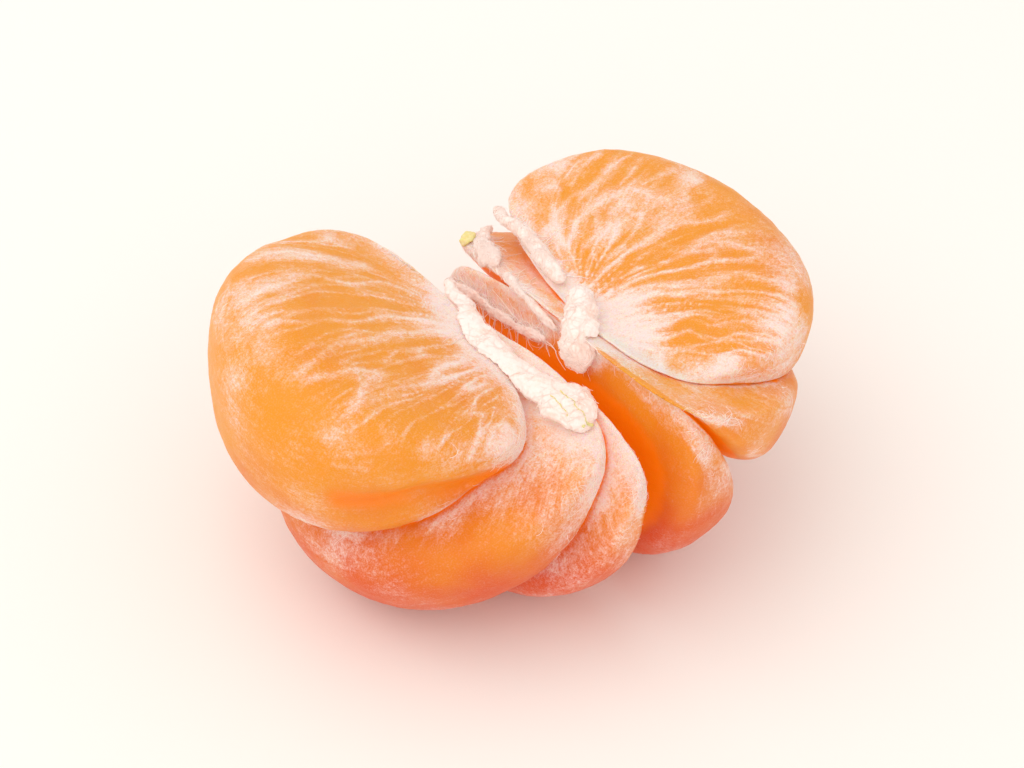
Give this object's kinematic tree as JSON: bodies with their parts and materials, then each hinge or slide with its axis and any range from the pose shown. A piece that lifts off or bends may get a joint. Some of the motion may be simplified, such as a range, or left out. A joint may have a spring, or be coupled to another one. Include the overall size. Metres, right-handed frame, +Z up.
{
  "type": "peeled mandarin, torn open",
  "caption": "Half of a peeled mandarin torn open along its core and fanned out, plump segments on their backs with white pith.",
  "frame": {"origin": "middle of the bounding box, on the surface that the segments lie on", "axes": "+X from the left end segment to the right end segment, +Y along the torn core towards the stem end, +Z up"},
  "size_m": [0.0716, 0.0556, 0.0375],
  "materials": {
    "flesh": "satin",
    "pith": "matte",
    "yellow": "matte"
  },
  "bodies": {
    "root": {"segment_left_end": "flesh", "segment_left_second": "flesh", "segment_front": "flesh", "segment_front_right": "flesh", "segment_right_second": "flesh", "segment_right_end": "flesh", "pith_core_left": "pith", "pith_core_right": "pith", "pith_cord_right": "pith", "pith_cord_middle": "pith", "pith_strip": "pith", "pith_stem_end": "pith", "stem_bit": "yellow"}
  },
  "joints": []
}
